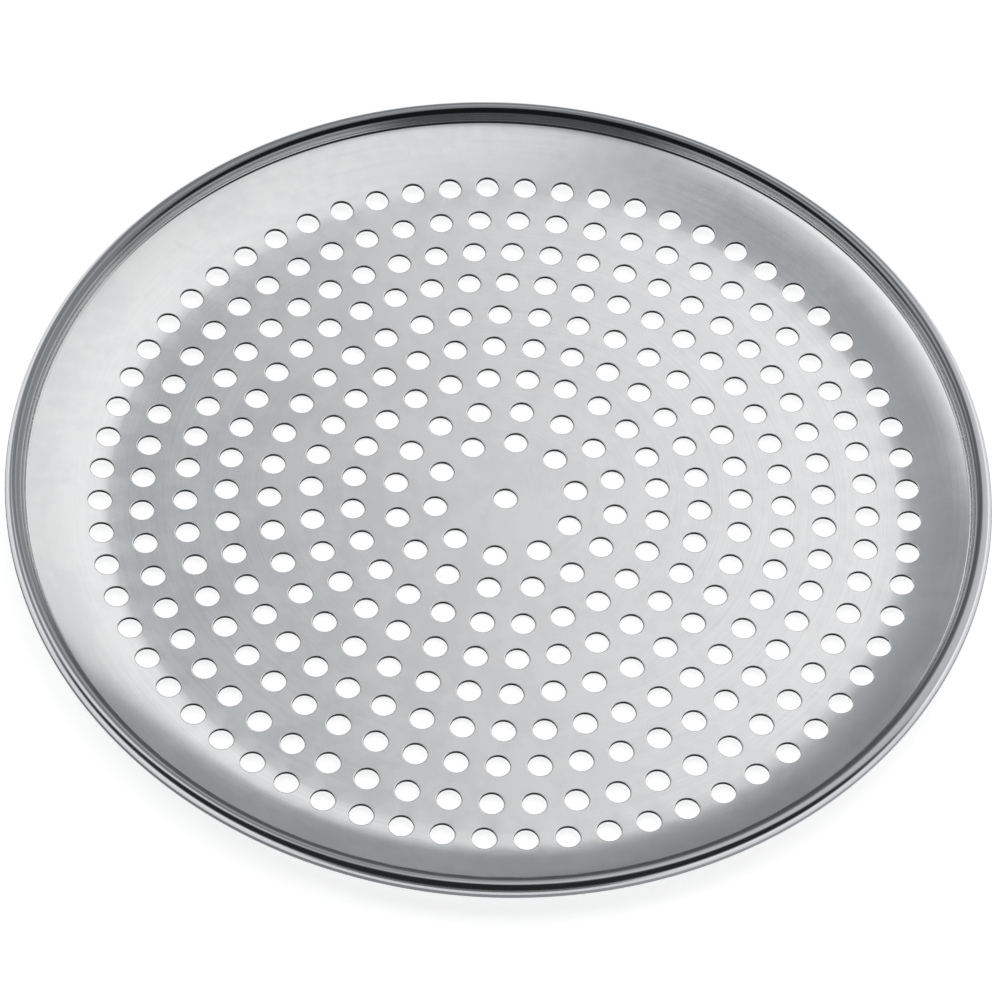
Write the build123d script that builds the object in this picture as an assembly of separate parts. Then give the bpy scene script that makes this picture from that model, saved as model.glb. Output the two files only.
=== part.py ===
from build123d import *
import math
import os

# Perforated pizza pan. Millimetres, +Z up, origin at the middle of the underside.
# One pressed sheet makes the flat floor, the border that slopes up round it, the cove, the low wall and the
# rolled rim.
# A steel rod runs inside the roll and stiffens it.

# Overall sizes
pan_diameter = 330.0
pan_height = 12.7

# Pressed sheet
sheet_thickness = 1.0
border_width = 22.1      # of the sloping border and its cove, from the flat floor to the wall
border_slope_degrees = 19.5
border_bend_radius = 15.0  # inside radius where the floor turns up into the border
cove_radius = 1.5        # inside radius between the border and the wall
roll_diameter = 6.5      # outside of the rolled rim
curl_end_gap = 0.25      # between the cut edge of the curl and the wall

# Steel rod inside the roll
rod_clearance = 0.1      # between the rod and the sheet wrapped round it
rod_end_gap = 1.5        # between the two ends of the bent rod

# Punched field of round holes
hole_diameter = 8.0
edge_margin = 0.7        # from the outermost ring of hole centres to the end of the flat floor
field_offset_x = 2.2     # the whole field was punched slightly off the centre of the pan
field_offset_y = -4.65
outer_ring_shift_y = 0.65  # the outermost ring, a separate hit, sits a little off the others
ring_radius_shares = (0.176, 0.274, 0.379, 0.481, 0.583, 0.689, 0.790, 0.896, 1.0)
ring_hole_counts = (10, 16, 24, 30, 36, 44, 50, 56, 64)
ring_start_degrees = (12.7, 17.0, 9.6, 0.5, 4.5, 2.7, 5.4, 1.0, 0.2)

# Cuts run this far past the faces that they open
overrun = 1.0

# Worked out from the sizes above
roll_radius = roll_diameter / 2
roll_centre_radius = pan_diameter / 2 - roll_radius
roll_centre_height = pan_height - roll_radius
bore_radius = roll_radius - sheet_thickness
wall_inside_radius = roll_centre_radius - roll_radius
wall_outside_radius = wall_inside_radius + sheet_thickness
flat_radius = wall_inside_radius - border_width
outer_ring_radius = flat_radius - edge_margin
rod_radius = bore_radius - rod_clearance


def on_circle(centre, radius, degrees):
    """A point on a circle in the section plane."""
    angle = math.radians(degrees)
    return (centre[0] + radius * math.cos(angle), centre[1] + radius * math.sin(angle))


def sheet_section():
    """Half of the sheet's cross-section, from the pan's axis to the end of the curl."""
    slope = border_slope_degrees
    rise_per_run = math.tan(math.radians(slope))
    bend_centre = (flat_radius, sheet_thickness + border_bend_radius)
    roll_centre = (roll_centre_radius, roll_centre_height)
    # On the upper face the border leaves its bend and meets the cove at the same slope
    border_start = on_circle(bend_centre, border_bend_radius, slope - 90)
    cove_centre_radius = wall_inside_radius - cove_radius
    border_end_radius = cove_centre_radius + cove_radius * math.sin(math.radians(slope))
    border_end_height = border_start[1] + (border_end_radius - border_start[0]) * rise_per_run
    cove_centre_height = border_end_height + cove_radius * math.cos(math.radians(slope))
    cove_centre = (cove_centre_radius, cove_centre_height)
    cove_outside = cove_radius + sheet_thickness
    # The curl starts at the wall, goes over the top and stops just before it meets the wall again
    curl_start = 180
    curl_end = math.degrees(math.acos((bore_radius - curl_end_gap) / roll_radius)) - curl_start
    curl_middle = (curl_start + curl_end) / 2
    with BuildSketch(Plane.XZ) as section:
        with BuildLine():
            # Underside, outside of the wall and inside of the roll
            Line((0, 0), (flat_radius, 0))
            ThreePointArc(
                (flat_radius, 0),
                on_circle(bend_centre, border_bend_radius + sheet_thickness, slope / 2 - 90),
                on_circle(bend_centre, border_bend_radius + sheet_thickness, slope - 90),
            )
            Line(
                on_circle(bend_centre, border_bend_radius + sheet_thickness, slope - 90),
                on_circle(cove_centre, cove_outside, slope - 90),
            )
            ThreePointArc(
                on_circle(cove_centre, cove_outside, slope - 90),
                on_circle(cove_centre, cove_outside, (slope - 90) / 2),
                (wall_outside_radius, cove_centre_height),
            )
            Line((wall_outside_radius, cove_centre_height), (wall_outside_radius, roll_centre_height))
            ThreePointArc(
                (wall_outside_radius, roll_centre_height),
                on_circle(roll_centre, bore_radius, curl_middle),
                on_circle(roll_centre, bore_radius, curl_end),
            )
            Line(
                on_circle(roll_centre, bore_radius, curl_end),
                on_circle(roll_centre, roll_radius, curl_end),
            )
            # Outside of the roll, inside of the wall and upper face
            ThreePointArc(
                on_circle(roll_centre, roll_radius, curl_end),
                on_circle(roll_centre, roll_radius, curl_middle),
                (wall_inside_radius, roll_centre_height),
            )
            Line((wall_inside_radius, roll_centre_height), (wall_inside_radius, cove_centre_height))
            ThreePointArc(
                (wall_inside_radius, cove_centre_height),
                on_circle(cove_centre, cove_radius, (slope - 90) / 2),
                on_circle(cove_centre, cove_radius, slope - 90),
            )
            Line(on_circle(cove_centre, cove_radius, slope - 90), border_start)
            ThreePointArc(
                border_start,
                on_circle(bend_centre, border_bend_radius, slope / 2 - 90),
                (flat_radius, sheet_thickness),
            )
            Line((flat_radius, sheet_thickness), (0, sheet_thickness))
            Line((0, sheet_thickness), (0, 0))
        make_face()
    return section.sketch


def hole_field():
    """Cutters for the centre hole and the rings of holes round it."""
    depth = pan_height + 2 * overrun
    middle = Location((field_offset_x, field_offset_y, -overrun))
    ring_radii = [share * outer_ring_radius for share in ring_radius_shares]
    with BuildPart() as cutters:
        with BuildSketch(middle):
            Circle(hole_diameter / 2)
            for radius, count, start in zip(ring_radii, ring_hole_counts, ring_start_degrees):
                shift_y = outer_ring_shift_y if radius == max(ring_radii) else 0
                with Locations((0, shift_y)):
                    with PolarLocations(radius, count, start_angle=start):
                        Circle(hole_diameter / 2)
        extrude(amount=depth)
    return cutters.part


def perforated_pan():
    """The sheet: floor, cove, wall and rolled rim in one pressing, then punched."""
    pressing = revolve(sheet_section(), axis=Axis.Z)
    return pressing - hole_field()


def rim_rod():
    """A round rod bent into a ring, whose ends stop just short of each other."""
    gap_degrees = math.degrees(rod_end_gap / roll_centre_radius)
    start_plane = Plane.XZ.rotated((0, 0, 90 + gap_degrees / 2))
    section = start_plane * Pos(roll_centre_radius, roll_centre_height) * Circle(rod_radius)
    return revolve(section, axis=Axis.Z, revolution_arc=360 - gap_degrees)


nodes = {
    "perforated_pan": perforated_pan(),
    "rim_rod": rim_rod(),
}

os.makedirs("parts", exist_ok=True)
for name, shape in nodes.items():
    export_step(shape, f"parts/{name}.step")
    print(name, round(shape.volume, 1), shape.bounding_box())
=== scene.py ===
import math

import bpy
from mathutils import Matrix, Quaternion, Vector


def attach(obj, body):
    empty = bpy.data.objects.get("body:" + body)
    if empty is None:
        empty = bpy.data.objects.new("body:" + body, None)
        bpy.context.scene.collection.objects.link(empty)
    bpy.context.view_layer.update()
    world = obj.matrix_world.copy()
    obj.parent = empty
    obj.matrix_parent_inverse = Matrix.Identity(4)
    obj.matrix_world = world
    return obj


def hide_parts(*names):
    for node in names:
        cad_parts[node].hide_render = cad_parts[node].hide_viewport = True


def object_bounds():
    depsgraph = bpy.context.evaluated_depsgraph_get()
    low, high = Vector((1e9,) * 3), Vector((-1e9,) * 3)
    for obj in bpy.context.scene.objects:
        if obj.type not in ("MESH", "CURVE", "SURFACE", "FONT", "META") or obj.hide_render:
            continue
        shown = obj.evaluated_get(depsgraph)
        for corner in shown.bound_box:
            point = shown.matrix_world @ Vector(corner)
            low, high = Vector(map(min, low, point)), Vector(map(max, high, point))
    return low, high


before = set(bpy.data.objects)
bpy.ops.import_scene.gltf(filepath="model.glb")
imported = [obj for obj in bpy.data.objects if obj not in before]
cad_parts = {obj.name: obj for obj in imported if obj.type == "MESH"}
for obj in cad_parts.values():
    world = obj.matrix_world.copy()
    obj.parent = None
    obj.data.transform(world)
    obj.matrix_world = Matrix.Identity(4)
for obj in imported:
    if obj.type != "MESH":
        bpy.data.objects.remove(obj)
cad_low, cad_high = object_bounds()

# The camera: a long lens looking down on the pan from the front, turned a little round its own axis, so that
# the round rim shows as an ellipse whose right side hangs lower.
camera_place = Vector((0.0, -0.8297, 1.1123))
camera_target = Vector((0.0009, -0.0065, 0.0021))
camera_roll = math.radians(3.96)
camera_data = bpy.data.cameras.new("camera")
camera_data.lens = 148.1
camera = bpy.data.objects.new("camera", camera_data)
camera.location = camera_place
camera.rotation_mode = "QUATERNION"
level_view = (camera_target - camera_place).to_track_quat("-Z", "Y")
camera.rotation_quaternion = level_view @ Quaternion((0, 0, 1), camera_roll)
bpy.context.scene.collection.objects.link(camera)
bpy.context.scene.camera = camera

# The pan: one disc of aluminium, pressed into a floor, a cove and a low wall, its edge rolled outwards round a
# steel rod. The floor is then punched with rings of round holes, whose upper edges the punch draws in softly.
pan_radius = min(cad_high.x, cad_high.y)
pan_height = cad_high.z
sheet_thickness = 0.001
cove_radius = 0.0015
roll_radius = 0.00325
curl_end_gap = 0.00025
# The floor is dished out to dish_radius, bends up until bend_radius and then rises as an apron to the cove
dish_radius = 0.130
dish_slope = 0.0169
bend_radius = 0.150
bend_slope = 0.28
apron_slope = 0.38
outer_ring_radius = 0.1357
outer_ring_shift = 0.00065
field_offset = Vector((0.00235, -0.0045))
ring_radius_shares = (0.176, 0.274, 0.379, 0.481, 0.583, 0.689, 0.790, 0.896, 1.0)
ring_hole_counts = (10, 16, 24, 30, 36, 44, 50, 56, 64)
ring_start_degrees = (12.7, 17.0, 9.6, 0.5, 4.5, 2.7, 5.4, 1.0, 0.2)
hole_radius = 0.004
punched_edge_round = 0.0003
punched_edge_flat = 0.00012
underside_burr = 0.0001
plate_margin = 0.0017
# How finely the round forms are divided
sides_of_rim = 288
sides_of_hole = 28
apron_steps = 8
cove_steps = 9
cove_underside_steps = 7
roll_steps = 30
bore_steps = 14
punched_edge_steps = 3
join_distance = 0.000005
sharp_edge = math.radians(40)

roll_centre = Vector((pan_radius - roll_radius, pan_height - roll_radius))
bore_radius = roll_radius - sheet_thickness
wall_inside = roll_centre.x - roll_radius
cove_start = math.atan(apron_slope)
floor_radius = wall_inside - cove_radius * (1 - math.sin(cove_start))
plate_radius = outer_ring_radius + hole_radius + plate_margin
hole_outline_radius = hole_radius + punched_edge_round + punched_edge_flat


def floor_rise(radius):
    """How far the floor stands above its own middle at a radius from that middle."""
    inside = min(radius, dish_radius)
    across = min(max(radius - dish_radius, 0), bend_radius - dish_radius)
    beyond = min(max(radius - bend_radius, 0), floor_radius - bend_radius)
    first_turn = (bend_slope - dish_slope) / (bend_radius - dish_radius)
    second_turn = (apron_slope - bend_slope) / (floor_radius - bend_radius)
    rise = dish_slope * inside * inside / dish_radius / 2
    rise += dish_slope * across + first_turn * across * across / 2
    return rise + bend_slope * beyond + second_turn * beyond * beyond / 2


def arc(centre, radius, start, end, steps):
    """Points along an arc in the section plane, both ends included. Angles are in degrees."""
    points = []
    for step in range(steps + 1):
        angle = math.radians(start + (end - start) * step / steps)
        points.append(centre + radius * Vector((math.cos(angle), math.sin(angle))))
    return points


# The rim's section runs outwards along the floor, over the roll, back inside it and home under the floor
floor_edge = Vector((floor_radius, sheet_thickness + floor_rise(floor_radius)))
cove_centre = floor_edge + cove_radius * Vector((-math.sin(cove_start), math.cos(cove_start)))
cove_start_degrees = math.degrees(cove_start) - 90
curl_end = math.degrees(math.acos((bore_radius - curl_end_gap) / roll_radius)) - 180
apron = [plate_radius + (floor_radius - plate_radius) * step / apron_steps for step in range(apron_steps)]
rim_section = [Vector((radius, sheet_thickness)) for radius in apron]
rim_section += arc(cove_centre, cove_radius, cove_start_degrees, 0, cove_steps)
rim_section += arc(roll_centre, roll_radius, 180, curl_end, roll_steps)
rim_section += arc(roll_centre, bore_radius, curl_end, 180, bore_steps)
rim_section += arc(cove_centre, cove_radius + sheet_thickness, 0, cove_start_degrees, cove_underside_steps)
rim_section += [Vector((radius, 0)) for radius in reversed(apron)]

# The hole's section runs in under the floor, up the cut wall and out over the rounded upper edge
burr_edge = hole_radius + underside_burr
round_centre = Vector((hole_radius + punched_edge_round, sheet_thickness - punched_edge_round))
hole_section = [Vector((hole_outline_radius, 0)), Vector((burr_edge, 0)), Vector((hole_radius, underside_burr))]
hole_section += arc(round_centre, punched_edge_round, 180, 90, punched_edge_steps)
hole_section += [Vector((hole_outline_radius, sheet_thickness))]


def section_mesh(name, rim_points, hole_points):
    """One mesh with both sections as chains of edges, laid out as Curve to Mesh turns them round a circle."""
    points = [(p.x - plate_radius, -p.y, 0) for p in rim_points]
    points += [(p.x - hole_outline_radius, -p.y, 0) for p in hole_points]
    chains = [range(len(rim_points)), range(len(rim_points), len(points))]
    edges = [(i, i + 1) for chain in chains for i in chain[:-1]]
    mesh = bpy.data.meshes.new(name)
    mesh.from_pydata(points, edges, [])
    is_hole = mesh.attributes.new("hole section", "BOOLEAN", "POINT")
    is_hole.data.foreach_set("value", [i in chains[1] for i in range(len(points))])
    return mesh


def feed(tree, socket, value):
    """Links a socket to another one, or sets it to a plain value."""
    if isinstance(value, bpy.types.NodeSocket):
        tree.links.new(value, socket)
    else:
        socket.default_value = value


def add_node(tree, kind, **values):
    """Adds a node. Sockets go by name, with underscores for spaces; the rest are the node's settings."""
    node = tree.nodes.new(kind)
    for key, value in values.items():
        socket = node.inputs.get(key.replace("_", " "))
        if socket is None:
            setattr(node, key, value)
        else:
            feed(tree, socket, value)
    return node


def maths(tree, operation, first, *others):
    """One Math node's result, or that of a row of them which takes in one more value each."""
    for other in others or (None,):
        node = add_node(tree, "ShaderNodeMath", operation=operation)
        feed(tree, node.inputs[0], first)
        if other is not None:
            feed(tree, node.inputs[1], other)
        first = node.outputs[0]
    return first


def pressing_tree():
    """Geometry Nodes that turn the two sections into the rim and the punched floor."""
    tree = bpy.data.node_groups.new("pressing", "GeometryNodeTree")
    sockets = tree.interface
    sockets.new_socket("Sections", in_out="INPUT", socket_type="NodeSocketGeometry")
    for name in ("Plate Radius", "Outer Ring Radius", "Outer Ring Shift", "Hole Outline Radius", "Sheet"):
        sockets.new_socket(name, in_out="INPUT", socket_type="NodeSocketFloat")
    for name in ("Rim Sides", "Hole Sides"):
        sockets.new_socket(name, in_out="INPUT", socket_type="NodeSocketInt")
    sockets.new_socket("Material", in_out="INPUT", socket_type="NodeSocketMaterial")
    sockets.new_socket("Pressing", in_out="OUTPUT", socket_type="NodeSocketGeometry")
    given = tree.nodes.new("NodeGroupInput").outputs
    result = tree.nodes.new("NodeGroupOutput").inputs

    def add(kind, **values):
        """Adds a node to this tree."""
        return add_node(tree, kind, **values)

    def join(*parts):
        """Joins pieces of geometry, the first one first."""
        node = add("GeometryNodeJoinGeometry")
        for part in reversed(parts):
            tree.links.new(part, node.inputs["Geometry"])
        return node.outputs["Geometry"]

    # Part the two sections again
    is_hole = add("GeometryNodeInputNamedAttribute", data_type="BOOLEAN", Name="hole section")
    parted = add("GeometryNodeSeparateGeometry", Geometry=given["Sections"], Selection=is_hole.outputs[0])
    hole_profile = add("GeometryNodeMeshToCurve", Mesh=parted.outputs["Selection"]).outputs["Curve"]
    rim_profile = add("GeometryNodeMeshToCurve", Mesh=parted.outputs["Inverted"]).outputs["Curve"]

    # The rim is its section turned round the pan's axis
    plate_edge = add(
        "GeometryNodeCurvePrimitiveCircle", Resolution=given["Rim Sides"], Radius=given["Plate Radius"]
    ).outputs["Curve"]
    rim = add("GeometryNodeCurveToMesh", Curve=plate_edge, Profile_Curve=rim_profile).outputs["Mesh"]

    # Hole centres: one in the middle, then the rings. The outermost ring is a hit of its own, a little off.
    centres = [add("GeometryNodeMeshLine", Count=1).outputs["Mesh"]]
    for share, count, start in zip(ring_radius_shares, ring_hole_counts, ring_start_degrees):
        radius = maths(tree, "MULTIPLY", given["Outer Ring Radius"], share)
        ring = add("GeometryNodeMeshCircle", Vertices=count, Radius=radius)
        turned = add(
            "GeometryNodeTransform", Geometry=ring.outputs["Mesh"], Rotation=(0, 0, math.radians(start))
        )
        if share == max(ring_radius_shares):
            shift = add("ShaderNodeCombineXYZ", Y=given["Outer Ring Shift"])
            feed(tree, turned.inputs["Translation"], shift.outputs[0])
        centres.append(turned.outputs["Geometry"])

    # Every hole is a circle in the floor plate and a swept edge through the sheet
    outline = add(
        "GeometryNodeCurvePrimitiveCircle", Resolution=given["Hole Sides"], Radius=given["Hole Outline Radius"]
    ).outputs["Curve"]
    placed = add("GeometryNodeInstanceOnPoints", Points=join(*centres), Instance=outline)
    outlines = add("GeometryNodeRealizeInstances", Geometry=placed.outputs["Instances"]).outputs["Geometry"]
    edges = add("GeometryNodeCurveToMesh", Curve=outlines, Profile_Curve=hole_profile).outputs["Mesh"]
    plate = add("GeometryNodeFillCurve", mode="TRIANGLES", Curve=join(plate_edge, outlines)).outputs["Mesh"]
    lift = add("ShaderNodeCombineXYZ", Z=given["Sheet"])
    top = add("GeometryNodeTransform", Geometry=plate, Translation=lift.outputs[0]).outputs["Geometry"]
    underside = add("GeometryNodeFlipFaces", Mesh=plate).outputs["Mesh"]

    whole = add(
        "GeometryNodeMergeByDistance", Geometry=join(rim, edges, top, underside), Distance=join_distance
    )
    real = add("GeometryNodeRealizeInstances", Geometry=whole.outputs["Geometry"])
    dressed = add("GeometryNodeSetMaterial", Geometry=real.outputs["Geometry"], Material=given["Material"])
    feed(tree, result["Pressing"], dressed.outputs["Geometry"])
    return tree


# The pan's finish: cloudy rolled sheet with the faint rings of the spinning, a roll painted darker as shade,
# most of all on its inner face, and cut hole walls painted near black as shade
sheet_dark, sheet_pale = (0.77, 0.775, 0.785, 1), (0.82, 0.825, 0.83, 1)
roll_inner_painted_shade, roll_outer_painted_shade = (0.24, 0.245, 0.255, 1), (0.54, 0.55, 0.57, 1)
cut_wall_painted_shade = (0.055, 0.055, 0.06, 1)
clouds_size, mottle_size, grain_size = 34.0, 190.0, 1300.0
fine_ring_size, broad_ring_size = 1900.0, 320.0
ring_break = 0.0012
scuff_stretch = (60, 900, 60)
relief_strength, relief_depth = 0.25, 0.00002


def fade(tree, value, low, high, at_low, at_high):
    """A value that goes smoothly from at_low to at_high while the given one goes from low to high."""
    node = add_node(tree, "ShaderNodeMapRange", interpolation_type="SMOOTHSTEP", Value=value,
                    From_Min=low, From_Max=high, To_Min=at_low, To_Max=at_high)
    return node.outputs["Result"]


def blend(tree, mask, first, second):
    """A colour that a mask carries from the first to the second. Mix names its colour sockets alike."""
    node = add_node(tree, "ShaderNodeMix", data_type="RGBA")
    for number, given in ((0, mask), (6, first), (7, second)):
        feed(tree, node.inputs[number], given)
    return node.outputs[2]


def turned_lines_group():
    """A shader node group: the fine lines that spinning or drawing leaves round the pan's axis."""
    tree = bpy.data.node_groups.new("turned_lines", "ShaderNodeTree")
    for name in ("Slow Turn", "Scale", "Detail", "Roughness"):
        tree.interface.new_socket(name, in_out="INPUT", socket_type="NodeSocketFloat")
    for name in ("Lines", "From Axis"):
        tree.interface.new_socket(name, in_out="OUTPUT", socket_type="NodeSocketFloat")
    given = tree.nodes.new("NodeGroupInput").outputs
    result = tree.nodes.new("NodeGroupOutput").inputs
    place = add_node(tree, "ShaderNodeTexCoord").outputs["Object"]
    apart = add_node(tree, "ShaderNodeSeparateXYZ", Vector=place).outputs
    across, along = (maths(tree, "MULTIPLY", apart[axis], apart[axis]) for axis in ("X", "Y"))
    from_axis = maths(tree, "SQRT", maths(tree, "ADD", across, along))
    # Quick change away from the axis and slow change round it break each line up along its length
    round_axis = maths(tree, "MULTIPLY", maths(tree, "ARCTAN2", apart["Y"], apart["X"]), given["Slow Turn"])
    line_place = add_node(tree, "ShaderNodeCombineXYZ", X=from_axis, Y=round_axis, Z=apart["Z"])
    lines = add_node(tree, "ShaderNodeTexNoise", Vector=line_place.outputs[0], Scale=given["Scale"],
                     Detail=given["Detail"], Roughness=given["Roughness"])
    feed(tree, result["Lines"], lines.outputs["Fac"])
    feed(tree, result["From Axis"], from_axis)
    return tree


turned_lines = turned_lines_group()
pan_aluminium = bpy.data.materials.new("spun_aluminium")
pan_aluminium.use_nodes = True
metal = pan_aluminium.node_tree
aluminium = metal.nodes["Principled BSDF"]
aluminium.inputs["Metallic"].default_value = 1

# Faint rings that the spinning left, cloudy patches of the rolled sheet and small scuffs
fine_rings = add_node(metal, "ShaderNodeGroup", node_tree=turned_lines, Slow_Turn=ring_break,
                      Scale=fine_ring_size, Detail=3.0, Roughness=0.6).outputs
broad_rings = add_node(metal, "ShaderNodeGroup", node_tree=turned_lines, Slow_Turn=ring_break,
                       Scale=broad_ring_size, Detail=2.0, Roughness=0.5).outputs
from_axis = fine_rings["From Axis"]
on_pan = add_node(metal, "ShaderNodeTexCoord").outputs["Object"]
clouds = add_node(metal, "ShaderNodeTexNoise", Vector=on_pan, Scale=clouds_size, Detail=4.0, Roughness=0.55)
mottle = add_node(metal, "ShaderNodeTexNoise", Vector=on_pan, Scale=mottle_size, Detail=3.0)
grain = add_node(metal, "ShaderNodeTexNoise", Vector=on_pan, Scale=grain_size, Detail=2.0)
scuff_place = add_node(metal, "ShaderNodeVectorMath", operation="MULTIPLY")
feed(metal, scuff_place.inputs[0], on_pan)
feed(metal, scuff_place.inputs[1], scuff_stretch)
scuff_noise = add_node(metal, "ShaderNodeTexNoise", Vector=scuff_place.outputs[0], Scale=1.0, Detail=1.0)
scuffs = fade(metal, scuff_noise.outputs["Fac"], 0.68, 0.78, 0.0, 1.0)

# Cut hole walls are steep faces inside the floor; the roll is everything beyond the wall
face = add_node(metal, "ShaderNodeNewGeometry")
facing = add_node(metal, "ShaderNodeSeparateXYZ", Vector=face.outputs["True Normal"])
steep = fade(metal, maths(metal, "ABSOLUTE", facing.outputs["Z"]), 0.4, 0.85, 1.0, 0.0)
cut = maths(metal, "MULTIPLY", steep, maths(metal, "LESS_THAN", from_axis, plate_radius))
rolled = fade(metal, from_axis, wall_inside - 0.0012, wall_inside + 0.0004, 0.0, 1.0)

roughness = maths(
    metal, "ADD",
    fade(metal, clouds.outputs["Fac"], 0.3, 0.7, 0.16, 0.20),
    fade(metal, fine_rings["Lines"], 0.3, 0.7, -0.03, 0.03),
    maths(metal, "MULTIPLY", scuffs, 0.02),
    maths(metal, "MULTIPLY", rolled, -0.03),
    maths(metal, "MULTIPLY", cut, 0.35),
)
feed(metal, aluminium.inputs["Roughness"], roughness)

# The roll is painted darker as shade, darkest on its inner face and less so towards its outer face
patches = maths(metal, "ADD", clouds.outputs["Fac"], maths(metal, "MULTIPLY", mottle.outputs["Fac"], 0.5))
sheet_colour = blend(metal, fade(metal, patches, 0.62, 0.88, 0.0, 1.0), sheet_dark, sheet_pale)
towards_roll_outside = fade(metal, from_axis, wall_inside + 0.0022, wall_inside + 0.0042, 0.0, 1.0)
rolled_colour = blend(metal, rolled, sheet_colour, blend(metal, towards_roll_outside, roll_inner_painted_shade, roll_outer_painted_shade))
# The steep cut hole walls are painted near black as shade
feed(metal, aluminium.inputs["Base Color"], blend(metal, cut, rolled_colour, cut_wall_painted_shade))

# The rings stand up a little, less so on the roll, and a fine grain covers the whole sheet
ring_relief = maths(metal, "ADD", maths(metal, "MULTIPLY", fine_rings["Lines"], 0.35),
                    maths(metal, "MULTIPLY", broad_rings["Lines"], 0.5))
ring_relief = maths(metal, "MULTIPLY", ring_relief, fade(metal, rolled, 0.0, 1.0, 1.0, 0.3))
relief = maths(metal, "ADD", ring_relief, maths(metal, "MULTIPLY", grain.outputs["Fac"], 0.25))
bump = add_node(metal, "ShaderNodeBump", Strength=relief_strength, Distance=relief_depth, Height=relief)
feed(metal, aluminium.inputs["Normal"], bump.outputs["Normal"])

# The pan is pressed: the tree turns the sections into a plain mesh
pan = bpy.data.objects.new("pan", section_mesh("pan_sections", rim_section, hole_section))
bpy.context.scene.collection.objects.link(pan)
press = pan.modifiers.new("pressing", "NODES")
press.node_group = pressing_tree()
press_values = {
    "Plate Radius": plate_radius,
    "Outer Ring Radius": outer_ring_radius,
    "Outer Ring Shift": outer_ring_shift,
    "Hole Outline Radius": hole_outline_radius,
    "Sheet": sheet_thickness,
    "Rim Sides": sides_of_rim,
    "Hole Sides": sides_of_hole,
    "Material": pan_aluminium,
}
for socket in press.node_group.interface.items_tree:
    if socket.name in press_values:
        press[socket.identifier] = press_values[socket.name]
pressed = bpy.data.meshes.new_from_object(pan.evaluated_get(bpy.context.evaluated_depsgraph_get()))
pan.modifiers.remove(press)
pan.data = pressed

# Punching has left the floor slightly dished and a little off the rim's centre, and the border takes up both.
# The rim's own points, from the cove outwards, stay where the section put them.
cove_margin = 0.00001
for vertex in pressed.vertices:
    place = vertex.co
    radius = math.hypot(place.x, place.y)
    if radius < floor_radius - cove_margin:
        inwards = min((floor_radius - radius) / (floor_radius - plate_radius), 1)
        place.z += floor_rise(radius)
        place.x += field_offset.x * inwards
        place.y += field_offset.y * inwards
pressed.shade_smooth()
pressed.set_sharp_from_angle(angle=sharp_edge)
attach(pan, "root")
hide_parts("perforated_pan")

# The rod: drawn steel wire bent into a ring and held by the rolled edge, which hides it. Its two ends nearly
# meet. Drawing has left fine lines along the wire.
rod_dark, rod_bright = (0.36, 0.36, 0.37, 1), (0.52, 0.52, 0.53, 1)
smoothest_wire, roughest_wire = 0.28, 0.5
rod_steel = bpy.data.materials.new("drawn_steel")
rod_steel.use_nodes = True
wire = rod_steel.node_tree
steel = wire.nodes["Principled BSDF"]
steel.inputs["Metallic"].default_value = 1
drawn = add_node(wire, "ShaderNodeGroup", node_tree=turned_lines, Slow_Turn=0.004,
                 Scale=3500.0, Detail=2.0, Roughness=0.5).outputs["Lines"]
feed(wire, steel.inputs["Base Color"], blend(wire, drawn, rod_dark, rod_bright))
wire_roughness = add_node(wire, "ShaderNodeMapRange", Value=drawn, To_Min=smoothest_wire, To_Max=roughest_wire)
feed(wire, steel.inputs["Roughness"], wire_roughness.outputs["Result"])
wire_bump = add_node(wire, "ShaderNodeBump", Strength=0.3, Distance=0.00002, Height=drawn)
feed(wire, steel.inputs["Normal"], wire_bump.outputs["Normal"])
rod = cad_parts["rim_rod"]
rod.data.materials.clear()
rod.data.materials.append(rod_steel)

# The studio: a white floor that keeps a soft shadow, a large soft box behind the pan on the right, another nearly
# overhead, and dimmer surroundings on the left and low down.
half_floor = 4.0
floor_white = (0.9, 0.9, 0.9, 1)
floor_glow = 0.72
too_close = 0.02
floor_mesh = bpy.data.meshes.new("floor")
floor_corners = [(x * half_floor, y * half_floor, 0) for x, y in ((-1, -1), (1, -1), (1, 1), (-1, 1))]
floor_mesh.from_pydata(floor_corners, [], [(0, 1, 2, 3)])
floor = bpy.data.objects.new("floor", floor_mesh)
bpy.context.scene.collection.objects.link(floor)
pale = bpy.data.materials.new("pale_floor")
pale.use_nodes = True
ground = pale.node_tree
pale_surface = ground.nodes["Principled BSDF"]
pale_surface.inputs["Base Color"].default_value = floor_white
pale_surface.inputs["Roughness"].default_value = 1


def either(tree, mask, first, second):
    """The first shader, or the second one where the mask is 1."""
    node = add_node(tree, "ShaderNodeMixShader", Fac=mask)
    feed(tree, node.inputs[1], first)
    feed(tree, node.inputs[2], second)
    return node.outputs["Shader"]


# The floor glows white to the eye and in mirrors, but throws no more light on the pan
ray = add_node(ground, "ShaderNodeLightPath").outputs
glow = add_node(ground, "ShaderNodeEmission", Color=(1, 1, 1, 1), Strength=floor_glow)
glowing = add_node(ground, "ShaderNodeAddShader")
feed(ground, glowing.inputs[0], pale_surface.outputs["BSDF"])
feed(ground, glowing.inputs[1], glow.outputs["Emission"])
looked_at = maths(ground, "MAXIMUM", ray["Is Camera Ray"], ray["Is Glossy Ray"], ray["Is Transmission Ray"])
seen_floor = either(ground, looked_at, pale_surface.outputs["BSDF"], glowing.outputs["Shader"])
# From below the floor isn't there, and the pan's underside doesn't mirror the spot that it stands on
mirrored_close = maths(ground, "MULTIPLY", maths(ground, "LESS_THAN", ray["Ray Length"], too_close),
                       ray["Is Glossy Ray"])
behind_floor = add_node(ground, "ShaderNodeNewGeometry").outputs["Backfacing"]
unseen = maths(ground, "MAXIMUM", behind_floor, mirrored_close)
nothing = add_node(ground, "ShaderNodeBsdfTransparent").outputs["BSDF"]
feed(ground, ground.nodes["Material Output"].inputs["Surface"], either(ground, unseen, seen_floor, nothing))
floor_mesh.materials.append(pale)

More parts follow.
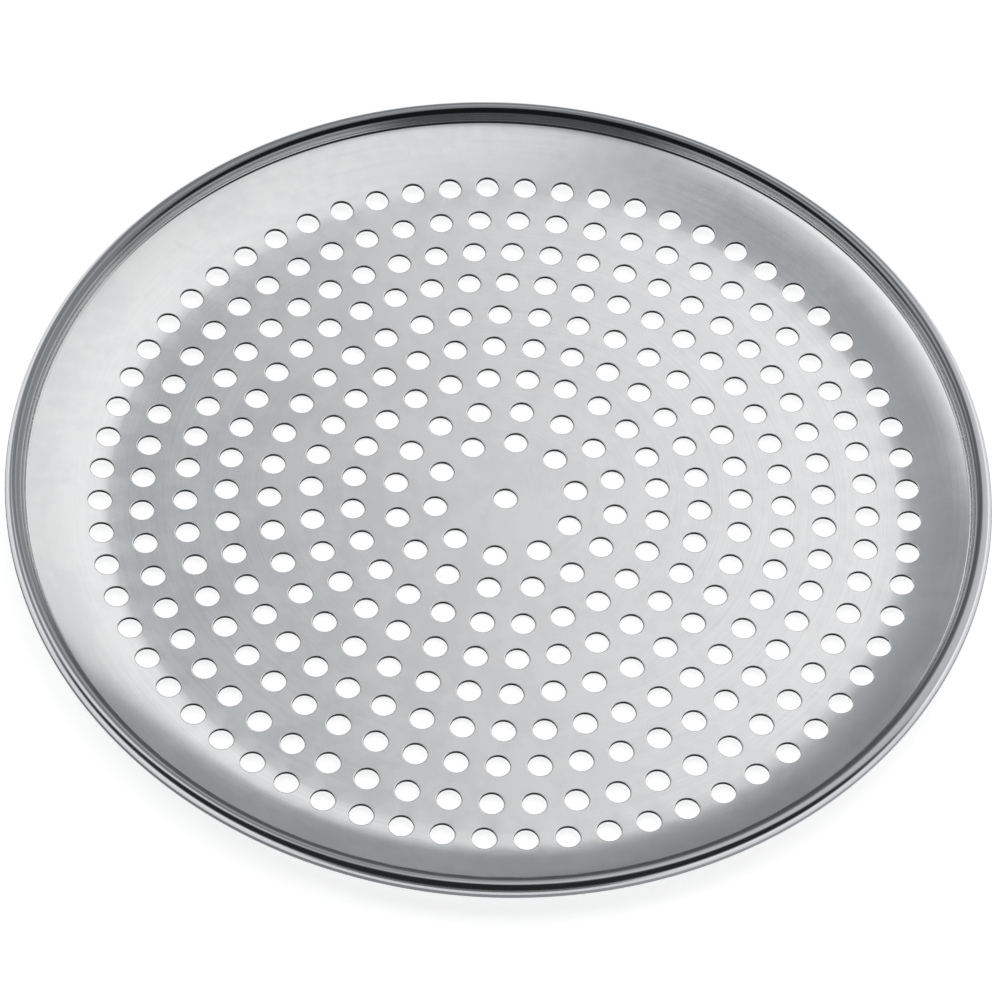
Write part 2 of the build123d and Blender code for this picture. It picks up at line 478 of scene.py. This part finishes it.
world = bpy.data.worlds.new("studio")
bpy.context.scene.world = world
world.use_nodes = True
sky = world.node_tree
cool_white, pure_white = (0.93, 0.97, 1, 1), (1, 1, 1, 1)
behind_strength = 0.39
front_strength = 0.25
sides_strength = 1.1
least_light = 0.03
grey_below = 0.42
grey_below_growth = 0.18

# Places on a level ceiling one unit up: right and back of the pan
direction = add_node(sky, "ShaderNodeTexCoord").outputs["Generated"]
towards = add_node(sky, "ShaderNodeSeparateXYZ", Vector=direction).outputs
upwards = maths(sky, "MAXIMUM", towards["Z"], 0.02)
right = maths(sky, "DIVIDE", towards["X"], upwards)
back = maths(sky, "DIVIDE", towards["Y"], upwards)
# The main soft box fills the right half behind the pan, but for its low left corner
bent_edge = maths(sky, "MULTIPLY", maths(sky, "ABSOLUTE", maths(sky, "SUBTRACT", back, 0.62)), 0.5)
past_left = maths(sky, "ADD", maths(sky, "MULTIPLY", right, 2.3), bent_edge)
above_corner = maths(sky, "SUBTRACT", maths(sky, "MULTIPLY", right, 2.0), maths(sky, "MULTIPLY", back, 2.2))
main_box = maths(
    sky, "MULTIPLY",
    fade(sky, past_left, -0.15, 0.24, 0.0, 1.0),
    fade(sky, above_corner, -2.8, -2.1, 0.0, 1.0),
    fade(sky, right, 0.12, 0.5, 0.62, 0.46),
    fade(sky, right, 1.4, 2.4, 1.0, 0.3),
    fade(sky, back, 0.3, 0.7, 0.76, 1.0),
)
# A second one hangs nearly overhead and reaches a little to the left
past_middle = maths(sky, "ADD", right, maths(sky, "MULTIPLY", back, 0.9))
overhead_box = maths(
    sky, "MULTIPLY",
    fade(sky, past_middle, -0.3, 0.13, 0.85, 0.0),
    fade(sky, right, -1.3, -0.7, 0.0, 1.0),
)
boxes = maths(sky, "MULTIPLY", maths(sky, "MAXIMUM", main_box, overhead_box),
              fade(sky, back, -0.08, 0.06, 0.0, 1.0))
# Everything behind the pan is mid grey, everything on the camera's side is dark
behind = maths(
    sky, "MULTIPLY",
    fade(sky, back, 0.02, 0.16, 0.0, behind_strength),
    fade(sky, right, -0.7, -0.15, 0.82, 1.0),
    fade(sky, back, 0.9, 2.4, 1.0, 0.85),
)
front_low = maths(
    sky, "MULTIPLY",
    fade(sky, towards["Z"], 0.25, 0.50, front_strength, 0.0),
    fade(sky, towards["Y"], -0.5, 0.1, 1.0, 0.0),
)
sides_low = maths(
    sky, "MULTIPLY",
    fade(sky, towards["Z"], 0.15, 0.50, sides_strength, 0.0),
    fade(sky, maths(sky, "ABSOLUTE", towards["X"]), 0.35, 0.65, 0.0, 1.0),
)
above = maths(sky, "ADD", boxes, behind, maths(sky, "ADD", front_low, sides_low), least_light)
# Below the horizon, where only the underside looks, it is an even grey that grows a little to the right
below = maths(sky, "ADD", maths(sky, "MULTIPLY", towards["X"], grey_below_growth), grey_below)
below = maths(sky, "MULTIPLY", below, fade(sky, towards["Z"], -0.12, 0.0, 1.0, 0.0))
light = maths(sky, "ADD", maths(sky, "MULTIPLY", above, fade(sky, towards["Z"], -0.12, 0.0, 0.0, 1.0)), below)
# The eye sees plain white. The dimmer surroundings are a little cooler than the soft boxes.
seen = add_node(sky, "ShaderNodeLightPath").outputs["Is Camera Ray"]
background = sky.nodes["Background"]
feed(sky, background.inputs["Strength"], maths(sky, "MAXIMUM", light, seen))
bright = maths(sky, "MAXIMUM", fade(sky, light, 0.4, 0.85, 0.0, 1.0), seen)
feed(sky, background.inputs["Color"], blend(sky, bright, cool_white, pure_white))
bpy.context.scene.view_settings.view_transform = "Standard"
